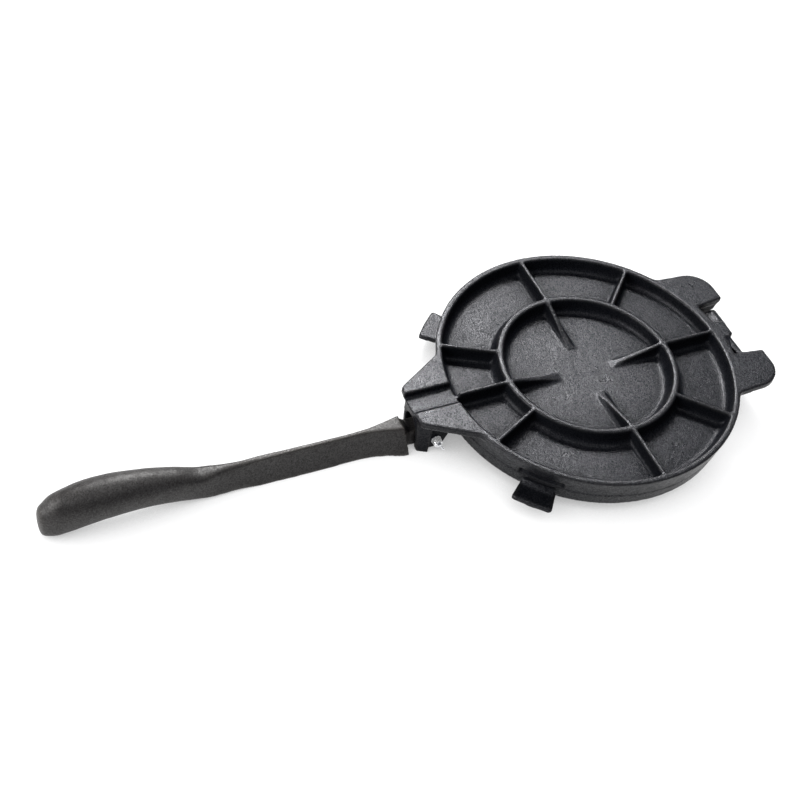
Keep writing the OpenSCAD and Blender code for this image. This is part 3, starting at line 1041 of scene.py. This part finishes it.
@dataclass
class PivotHardware:
    """The bolt that the lever swings on, with its washer and wing nut.

    The bolt's axis lies along Y, with its head on the far side and its nut on the near side,
    and web_y is the outer face of the ears. The head's corners are turned down to
    head_crown_share of their reach. The thread starts lap before the near ear's face and is
    thread_share of its pitch deep. The nut is turned by nut_turn degrees. Each row of leaf gives,
    in millimetres, the distance of a section of the wing from the axis, its bottom and top, and
    half its thickness.
    """

    axis_x: float = 0.0062
    axis_z: float = 0.008
    web_y: float = 11.5 * MM
    bolt_r: float = 2.0 * MM
    head_across: float = 7.0 * MM
    head_h: float = 3.5 * MM
    head_edge: float = 0.55 * MM
    head_crown_share: float = 0.90
    lap: float = 1.5 * MM
    pitch: float = 0.7 * MM
    thread_share: float = 0.55
    tail: float = 1.4 * MM
    point_h: float = 0.6 * MM
    point_slope: float = 1.1
    washer_r: float = 3.5 * MM
    washer_t: float = 0.6 * MM
    washer_play: float = 0.15 * MM
    washer_round: float = 0.22 * MM
    eased_share: float = 0.3
    burr: float = 0.05 * MM
    nut_h: float = 4.4 * MM
    nut_turn: float = -50.5
    nut_play: float = 0.05 * MM
    hub_foot_r: float = 3.2 * MM
    hub_foot_h: float = 0.25 * MM
    hub_r: float = 3.4 * MM
    hub_waist_r: float = 3.15 * MM
    hub_waist_h: float = 2.2 * MM
    hub_shoulder_r: float = 2.9 * MM
    hub_top_r: float = 2.6 * MM
    hub_edge: float = 0.35 * MM
    bore_edge: float = 0.3 * MM
    leaf: tuple[tuple[float, float, float, float], ...] = (
        (2.2, 1.0, 3.7, 0.80),
        (3.2, 1.5, 5.1, 0.78),
        (4.1, 2.5, 6.5, 0.74),
        (5.0, 3.4, 6.9, 0.70),
        (5.9, 4.0, 6.7, 0.60),
        (6.55, 4.7, 5.9, 0.42),
    )
    leaf_power: float = 0.6
    melt_size: float = 0.16 * MM
    melt_passes: int = 5

    def _towards(self, y: float, turn: float = 0.0) -> Matrix:
        """Gives a frame on the bolt's axis at y, with its Z pointing to the near side."""
        place = Matrix.Translation((self.axis_x, y, self.axis_z))
        lie = Matrix.Rotation(math.radians(90), 4, "X")
        return place @ lie @ Matrix.Rotation(math.radians(turn), 4, "Z")

    def bolt(self) -> bpy.types.Object:
        """Builds the bolt: chamfered hex head, plain shank and threaded end.

        Returns:
            The piece.
        """
        shape = bmesh.new()
        base = self._towards(self.web_y)
        self._hex_head(shape, base)
        self._threaded_rod(shape, base)
        mesh = from_bmesh("pivot_bolt_detail", shape)
        shade_smooth(mesh, 32)
        piece = new_piece("pivot_bolt_detail", mesh)
        piece.data.materials.append(BOLT_ZINC.material())
        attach(piece, Body.BASE.value)
        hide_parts("pivot_bolt")
        return piece

    def _hex_head(self, shape: bmesh.types.BMesh, base: Matrix) -> None:
        """Adds the hex head, with the round chamfer that turning leaves on its corners.

        Args:
            shape: The bmesh to add to.
            base: The frame of the head's inner face.
        """
        steps = 72
        corner = self.head_across / 2 / math.cos(math.radians(30))
        levels = (
            (0.0, corner),
            (-self.head_h + self.head_edge, corner),
            (-self.head_h, corner * self.head_crown_share),
        )
        rings = []
        for height, turned in levels:
            from_flat = [(360 * i / steps + 30) % 60 - 30 for i in range(steps)]
            flats = [self.head_across / 2 / math.cos(math.radians(a)) for a in from_flat]
            rings.append(add_ring(shape, base, height, [min(flat, turned) for flat in flats]))
        join_rings(shape, rings, Ends.CAPPED)

    def _threaded_rod(self, shape: bmesh.types.BMesh, base: Matrix) -> None:
        """Adds the shank, which turns into a thread with a pointed start.

        Args:
            shape: The bmesh to add to.
            base: The frame of the head's inner face.
        """
        steps, rows = 36, 8
        length = 2 * self.web_y + self.washer_t + self.nut_h + self.tail
        plain = 2 * self.web_y - self.lap
        count = int((length - plain) / self.pitch * rows)
        heights = [0.0, plain]
        heights += [plain + (length - plain) * (i + 1) / count for i in range(count)]
        rings = []
        for height in heights:
            taper = max(0.0, height - length + self.point_h)
            radii = []
            for i in range(steps):
                phase = (height / self.pitch - i / steps) % 1.0
                depth = self.thread_share * self.pitch if height > plain else 0.0
                cut = self.bolt_r - depth * abs(2 * phase - 1)
                radii.append(min(cut, self.bolt_r - self.point_slope * taper))
            rings.append(add_ring(shape, base, height, radii))
        join_rings(shape, rings, Ends.CAPPED)

    def washer(self) -> bpy.types.Object:
        """Builds the punched washer with its slightly rounded rims.

        Returns:
            The piece.
        """
        inner, outer = self.bolt_r + self.washer_play, self.washer_r
        t, soft, burr = self.washer_t, self.washer_round, self.burr
        eased = soft * self.eased_share
        profile = [
            (inner, soft),
            (inner, t - burr),
            (inner + burr, t),
            (outer - soft, t),
            (outer - eased, t - eased),
            (outer, t - soft),
            (outer, 0.0),
            (inner + soft, 0.0),
        ]
        shape = bmesh.new()
        revolve(shape, profile, 64, self._towards(-self.web_y))
        mesh = from_bmesh("pivot_washer_detail", shape)
        shade_smooth(mesh, 40)
        piece = new_piece("pivot_washer_detail", mesh)
        piece.data.materials.append(WASHER_ZINC.material())
        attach(piece, Body.BASE.value)
        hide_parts("pivot_washer")
        return piece

    def wing_nut(self) -> bpy.types.Object:
        """Builds the wing nut: a tapered hub and two leaf-shaped wings run together.

        Returns:
            The piece.
        """
        seat = self._towards(-(self.web_y + self.washer_t), self.nut_turn)
        shape = bmesh.new()
        bore, top = self.bolt_r + self.nut_play, self.nut_h
        hub = [
            (bore, 0.0),
            (self.hub_foot_r, 0.0),
            (self.hub_r, self.hub_foot_h),
            (self.hub_waist_r, self.hub_waist_h),
            (self.hub_shoulder_r, top - self.hub_edge),
            (self.hub_top_r, top),
            (bore + self.hub_edge, top),
            (bore, top - self.bore_edge),
        ]
        revolve(shape, hub, 48, seat)
        for side in Side:
            self._wing(shape, seat, side)
        piece = new_piece("wing_nut_detail", from_bmesh("wing_nut_detail", shape))
        melt = piece.modifiers.new("melt", "REMESH")
        melt.mode = "VOXEL"
        melt.voxel_size = self.melt_size
        smooth = piece.modifiers.new("smooth", "SMOOTH")
        smooth.iterations = self.melt_passes
        settle_modifiers(piece)
        shade_smooth(piece.data)
        piece.data.materials.append(NUT_ZINC.material())
        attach(piece, Body.WINGS.value)
        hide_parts("wing_nut")
        return piece

    def _wing(self, shape: bmesh.types.BMesh, seat: Matrix, side: Side) -> None:
        """Adds one wing, a leaf with a thick root and a thin rounded tip.

        Args:
            shape: The bmesh to add to.
            seat: The nut's own frame.
            side: The side of the hub.
        """
        rounds = 16
        rings = []
        for reach, low, high, half in self.leaf:
            ring = []
            for i in range(rounds):
                angle = 2 * math.pi * i / rounds
                lift = (low + high) / 2 + (high - low) / 2 * math.sin(angle)
                full = abs(math.cos(angle)) ** self.leaf_power
                across = half * math.copysign(full, math.cos(angle))
                spot = Vector((side.value * reach * MM, across * MM, lift * MM))
                ring.append(shape.verts.new(seat @ spot))
            rings.append(ring)
        join_rings(shape, rings, Ends.CAPPED)


# ---- hinge hardware ---------------------------------------------------------------------


@dataclass
class HingeHardware:
    """The hinge pin through lugs and knuckles, kept by a split pin at each end.

    Each leg of a split pin stands leg_share of the wire's radius from the pin's middle. The eye
    stands eye_lift above the legs, with a knot at each angle of eye_turns, in degrees. The ends
    are bent apart: each bend gives how far its knots go outward and downward.
    """

    axis_x: float = 0.2357
    axis_z: float = 0.020
    pin_r: float = 3.0 * MM
    pin_end: float = 37.0 * MM
    chamfer: float = 0.8 * MM
    bands: int = 24
    split_y: float = 33.9 * MM
    hole_r: float = 1.25 * MM
    wire_r: float = 0.62 * MM
    leg_share: float = 0.98
    leg_above: float = 0.5 * MM
    leg_below: float = 0.6 * MM
    eye_r: float = 1.45 * MM
    eye_lift: float = 0.9 * MM
    eye_turns: range = range(-40, -321, -35)
    near_bend: tuple[tuple[float, float], ...] = ((1.1 * MM, 1.5 * MM), (2.5 * MM, 2.9 * MM))
    far_bend: tuple[tuple[float, float], ...] = ((0.8 * MM, 1.6 * MM), (1.9 * MM, 3.2 * MM))

    def pin(self) -> bpy.types.Object:
        """Builds the pin with chamfered ends and a cross hole near each.

        Returns:
            The piece.
        """
        half, small_r = self.pin_end, self.pin_r - self.chamfer
        start, run = -half + self.chamfer, (half - self.chamfer) * 2
        profile = [(0.0, -half), (small_r, -half)]
        profile += [(self.pin_r, start + run * i / self.bands) for i in range(self.bands + 1)]
        profile += [(small_r, half), (0.0, half)]
        shape = bmesh.new()
        place = Matrix.Translation((self.axis_x, 0, self.axis_z))
        revolve(shape, profile, 48, place @ Matrix.Rotation(math.radians(90), 4, "X"))
        piece = new_piece("hinge_pin_detail", from_bmesh("hinge_pin_detail", shape))
        for side in Side:
            self._drill(piece, side)
        shade_smooth(piece.data, 35)
        piece.data.materials.append(DrawnSteel("pin_steel").material())
        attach(piece, Body.BASE.value)
        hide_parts("hinge_pin")
        return piece

    def _drill(self, piece: bpy.types.Object, side: Side) -> None:
        """Drills one cross hole through the pin.

        Args:
            piece: The pin.
            side: The end that is drilled.
        """
        shape = bmesh.new()
        place = Matrix.Translation((self.axis_x, side.value * self.split_y, self.axis_z))
        deep = 2 * self.pin_r
        profile = [(0, -deep), (self.hole_r, -deep), (self.hole_r, deep), (0, deep)]
        revolve(shape, profile, 24, place)
        drill = new_piece(f"drill_{side.name.lower()}", from_bmesh("drill", shape))
        cut = piece.modifiers.new("hole", "BOOLEAN")
        cut.operation = "DIFFERENCE"
        cut.solver = "EXACT"
        cut.object = drill
        settle_modifiers(piece)
        bpy.data.objects.remove(drill)

    def _split_pin_route(self) -> list[tuple[float, float]]:
        """Works out the wire's middle line, from the end of one leg round the eye to the other.

        Returns:
            The Y and Z of each knot, from the middle of the hinge pin.
        """
        gap = self.wire_r * self.leg_share
        top, bottom = self.pin_r + self.leg_above, -self.pin_r - self.leg_below
        eye_z = top + self.eye_r + self.eye_lift
        route = [(-gap - out, bottom - down) for out, down in reversed(self.near_bend)]
        route += [(-gap, bottom), (-gap, 0), (-gap, top)]
        for turn in self.eye_turns:
            angle = math.radians(turn)
            route.append((self.eye_r * math.sin(angle), eye_z - self.eye_r * math.cos(angle)))
        route += [(gap, top), (gap, 0), (gap, bottom)]
        route += [(gap + out, bottom - down) for out, down in self.far_bend]
        return route

    def split_pin(self, side: Side) -> bpy.types.Object:
        """Builds one split pin: a bent wire with an eye and two opened legs.

        Args:
            side: The side of the press it is on.

        Returns:
            The piece.
        """
        name = f"split_pin_{side.name.lower()}"
        route = self._split_pin_route()
        curve = bpy.data.curves.new(name, "CURVE")
        curve.dimensions = "3D"
        curve.bevel_depth = self.wire_r
        curve.bevel_resolution = 4
        curve.use_fill_caps = True
        line = curve.splines.new("BEZIER")
        line.bezier_points.add(len(route) - 1)
        place = Vector((self.axis_x, side.value * self.split_y, self.axis_z))
        for knot, (y, z) in zip(line.bezier_points, route):
            knot.co = place + Vector((0, y, z))
            knot.handle_left_type = knot.handle_right_type = "AUTO"
        wire = new_piece(f"{name}_wire", curve)
        mesh = shown_mesh(wire)
        bpy.data.objects.remove(wire)
        shade_smooth(mesh, 60)
        piece = new_piece(name, mesh)
        piece.data.materials.append(DrawnSteel(f"split_pin_steel_{side.name.lower()}").material())
        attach(piece, Body.BASE.value)
        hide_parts("split_pins")
        return piece


# ---- studio -----------------------------------------------------------------------------


@dataclass(frozen=True)
class Softbox:
    """A broad lamp behind diffusing cloth, aimed at the middle of the plates.

    Its azimuth is 0 behind the press and 90 beyond the hinge. Angles are in degrees.
    """

    name: str
    azimuth: float
    elevation: float
    distance: float
    width: float
    height: float
    watts: float
    roll: float = 0.0

    def hang(self, target: Vector) -> bpy.types.Object:
        """Hangs the lamp.

        Args:
            target: The point it faces.

        Returns:
            The lamp.
        """
        data = bpy.data.lights.new(self.name, "AREA")
        data.shape = "RECTANGLE"
        data.size, data.size_y = self.width, self.height
        data.energy = self.watts
        lamp = bpy.data.objects.new(self.name, data)
        bpy.context.scene.collection.objects.link(lamp)
        azimuth, elevation = math.radians(self.azimuth), math.radians(self.elevation)
        level = math.cos(elevation)
        towards = Vector(
            (math.sin(azimuth) * level, math.cos(azimuth) * level, math.sin(elevation))
        )
        lamp.location = target + towards * self.distance
        lean = Matrix.Rotation(math.radians(self.roll), 3, "Z")
        lamp.rotation_euler = (towards.to_track_quat("Z", "Y").to_matrix() @ lean).to_euler()
        return lamp


@dataclass(frozen=True)
class Studio:
    """A white table, soft lamps behind the press, and the camera.

    The camera looks along forward with right level to its right. Its lens and the width of its
    sensor are in millimetres.
    """

    target: Triple = (0.12, 0.0, 0.02)
    floor_r: float = 5.0
    camera_at: Triple = (-0.29633, -0.44820, 0.63750)
    right: Triple = (0.90993, -0.39515, 0.12602)
    forward: Triple = (0.34869, 0.56431, -0.74831)
    lens: float = 56.474
    sensor: float = 36.0
    nearest: float = 0.05
    sky: Colour = (0.050, 0.058, 0.080)
    lamps: tuple[Softbox, ...] = (
        Softbox("key_softbox", 12.0, 44.5, 1.6, 0.50, 0.36, 30.0, -3.3),
        Softbox("strip_softbox", 27.0, 48.5, 1.6, 0.86, 0.20, 13.0, -3.1),
        Softbox("left_softbox", -84.0, 29.0, 1.6, 1.20, 0.90, 25.0),
        Softbox("top_softbox", 168.0, 72.0, 1.6, 1.00, 1.00, 5.0),
    )

    def camera(self) -> bpy.types.Object:
        """Sets up the camera.

        Returns:
            The camera.
        """
        data = bpy.data.cameras.new("camera")
        data.sensor_fit = "HORIZONTAL"
        data.sensor_width = self.sensor
        data.lens = self.lens
        data.clip_start = self.nearest
        camera = bpy.data.objects.new("camera", data)
        bpy.context.scene.collection.objects.link(camera)
        forward = Vector(self.forward).normalized()
        up = Vector(self.right).cross(forward).normalized()
        right = forward.cross(up).normalized()
        turn = Matrix((right, up, -forward)).transposed().to_4x4()
        camera.matrix_world = Matrix.Translation(self.camera_at) @ turn
        bpy.context.scene.camera = camera
        view = bpy.context.scene.view_settings
        view.view_transform = "Standard"
        view.look = "None"
        return camera

    def floor(self) -> bpy.types.Object:
        """Lays the table top under the press.

        Returns:
            The floor.
        """
        shape = bmesh.new()
        bmesh.ops.create_circle(shape, cap_ends=True, radius=self.floor_r, segments=96)
        floor = new_piece("floor", from_bmesh("floor", shape))
        if floor.data.polygons[0].normal.z < 0:
            floor.data.flip_normals()
        floor.data.materials.append(StudioPaper().material())
        return floor

    def world(self) -> None:
        """Fills the room with dim, even light."""
        world = bpy.data.worlds.new("room")
        world.use_nodes = True
        backdrop = world.node_tree.nodes["Background"]
        backdrop.inputs["Color"].default_value = (*self.sky, 1.0)
        backdrop.inputs["Strength"].default_value = 1.0
        bpy.context.scene.world = world

    def light(self) -> None:
        """Hangs every lamp."""
        for lamp in self.lamps:
            lamp.hang(Vector(self.target))


# ---- the whole press --------------------------------------------------------------------


def main() -> None:
    """Builds the studio and every piece of the press."""
    logging.basicConfig(level=logging.INFO, format="%(message)s")
    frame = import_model()
    studio = Studio()
    studio.camera()
    studio.floor()
    studio.world()
    studio.light()

    castings = (
        Casting("base_plate", Body.BASE, Slot.BASE_IRON, BASE_IRON, crisp_z=PARTING_Z),
        Casting("lid_plate", Body.LID, Slot.LID_IRON, LID_IRON, crisp_z=PARTING_Z),
        LeverCasting(
            "handle",
            Body.LEVER,
            Slot.LEVER_IRON,
            LEVER_IRON,
            voxel=0.7 * MM,
            edge_passes=5,
            ripple=0.22 * MM,
            ripple_size=8 * MM,
        ),
    )
    pivot = PivotHardware()
    hinge = HingeHardware()
    pieces = [casting.build(frame["nodes"]) for casting in castings]
    pieces += [pivot.bolt(), pivot.washer(), pivot.wing_nut(), hinge.pin()]
    pieces += [hinge.split_pin(side) for side in Side]
    for piece in pieces:
        log.info("%s: %d faces", piece.name, len(piece.data.polygons))


if __name__ == "__main__":
    main()
